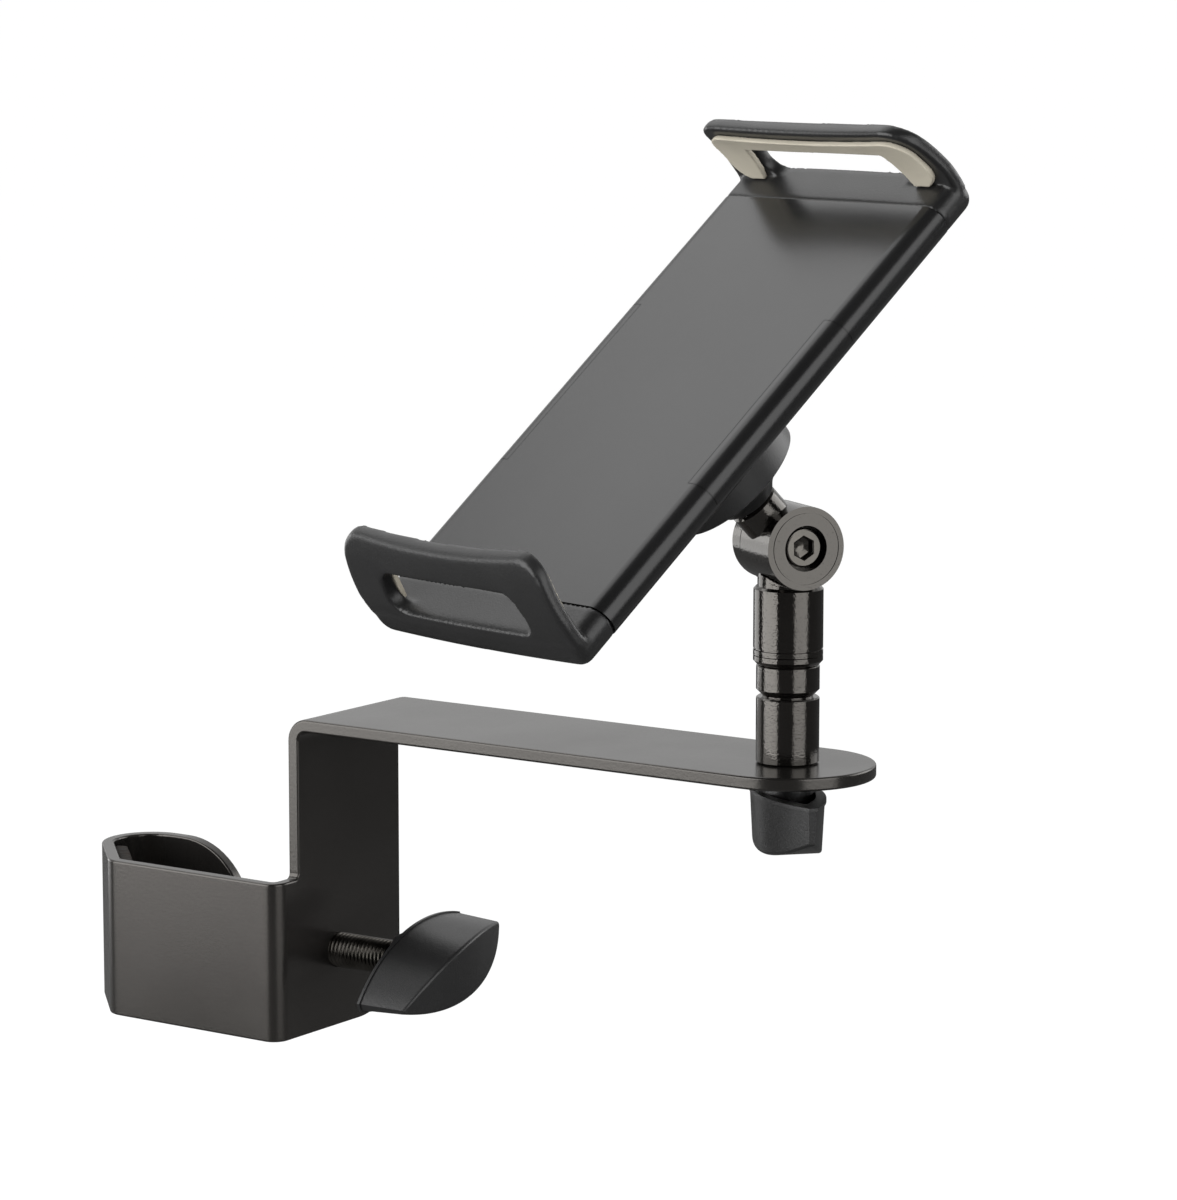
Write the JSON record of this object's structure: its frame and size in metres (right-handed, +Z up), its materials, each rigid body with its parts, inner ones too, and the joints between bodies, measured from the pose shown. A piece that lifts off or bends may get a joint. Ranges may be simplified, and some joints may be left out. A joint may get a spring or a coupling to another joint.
{
  "type": "clamp-on device holder",
  "caption": "Bent plate bracket that clamps to a pole, with a swivel post, tilting knuckle and ball joint under a sprung two-jaw device holder.",
  "frame": {"origin": "axis of the clamped pole at mid-height of the clamp", "axes": "+Z up along the pole, +X along the bracket's arm to its free end, -Y towards the side the held device faces"},
  "size_m": [0.2599, 0.1517, 0.2469],
  "materials": {
    "black_paint": "satin",
    "gloss_black": "gloss",
    "steel": "bright zinc",
    "dark_steel": "black oxide",
    "black_plastic": "satin",
    "grey_plastic": "plain",
    "liner_rubber": "rough",
    "pad_rubber": "matt",
    "cream_rubber": "soft matt",
    "spring_steel": "plain"
  },
  "bodies": {
    "base": {"bracket": "black_paint", "hook_liner": "liner_rubber", "clamp_nut": "dark_steel", "post_stud": "gloss_black"},
    "pad": {"pressure_pad": "steel", "pad_face": "pad_rubber"},
    "clamp_handle": {"clamp_screw": "steel", "clamp_knob": "black_plastic"},
    "washer": {"knob_washer": "steel"},
    "post_handle": {"post_screw": "steel", "post_knob": "black_plastic"},
    "sleeve": {"knuckle_base": "gloss_black", "pivot_screw": "dark_steel", "pivot_nut": "gloss_black", "friction_washer": "pad_rubber"},
    "rod": {"rod_arm": "gloss_black"},
    "seat": {"ball_seat": "grey_plastic"},
    "holder": {"foot": "black_plastic", "socket_cap": "grey_plastic", "foot_screws": "dark_steel", "back_shell": "black_plastic", "front_shell": "black_plastic", "shell_screws": "dark_steel", "side_clip_left": "black_plastic", "side_clip_right": "black_plastic", "pinion_pin": "steel", "return_spring": "spring_steel"},
    "upper_jaw": {"jaw_top": "black_plastic", "jaw_top_pad": "cream_rubber"},
    "lower_jaw": {"jaw_bottom": "black_plastic", "jaw_bottom_pad": "cream_rubber"},
    "gear": {"pinion": "grey_plastic"}
  },
  "joints": [
    {"name": "clamp_slide", "type": "slide", "parent": "base", "child": "pad", "axis": [1, 0, 0], "range_m": [-0.0142, 0.013]},
    {"name": "clamp_turn", "type": "hinge", "parent": "pad", "child": "clamp_handle", "pos_m": [0.0769, 0.0041, -0.00075], "axis": [1, 0, 0], "range_deg": [-4118, 3773]},
    {"name": "post_knob_slide", "type": "slide", "parent": "base", "child": "washer", "axis": [0, 0, -1], "range_m": [0, 0.01]},
    {"name": "post_knob_turn", "type": "hinge", "parent": "washer", "child": "post_handle", "pos_m": [0.1925, 0.0093, 0.057], "axis": [0, 0, -1], "range_deg": [-5, 2909]},
    {"name": "post_swivel", "type": "hinge", "parent": "base", "child": "sleeve", "pos_m": [0.1925, 0.0093, 0.1], "axis": [0, 0, 1], "continuous": true},
    {"name": "knuckle_tilt", "type": "hinge", "parent": "sleeve", "child": "rod", "pos_m": [0.1925, 0.0093, 0.1204], "axis": [0.8508, -0.5255, 0], "range_deg": [-80, 35]},
    {"name": "ball_tilt", "type": "hinge", "parent": "rod", "child": "seat", "pos_m": [0.18434, -0.00391, 0.1371], "axis": [-0.0337, -0.7759, -0.6299], "range_deg": [-2, 22]},
    {"name": "holder_turn", "type": "hinge", "parent": "seat", "child": "holder", "pos_m": [0.18434, -0.00391, 0.1371], "axis": [-0.1882, -0.6141, 0.7665], "continuous": true},
    {"name": "jaw_slide", "type": "slide", "parent": "holder", "child": "upper_jaw", "axis": [0.2097, 0.7373, 0.6422], "range_m": [0, 0.025], "stiffness_N_per_m": 200, "springref_m": -0.015},
    {"name": "lower_jaw_slide", "type": "slide", "parent": "holder", "child": "lower_jaw", "axis": [-0.2097, -0.7373, -0.6422], "range_m": [0, 0.0255]},
    {"name": "pinion_turn", "type": "hinge", "parent": "holder", "child": "gear", "pos_m": [0.17825, -0.02604, 0.161], "axis": [-0.1882, -0.6141, 0.7665], "range_deg": [-2, 240]}
  ],
  "couplings": [
    {"joint": "clamp_turn", "follows": "clamp_slide", "rad_per_m": 5026.5},
    {"joint": "post_knob_turn", "follows": "post_knob_slide", "rad_per_m": 5026.5},
    {"joint": "lower_jaw_slide", "follows": "jaw_slide", "ratio": 1},
    {"joint": "pinion_turn", "follows": "jaw_slide", "rad_per_m": 166.67}
  ]
}
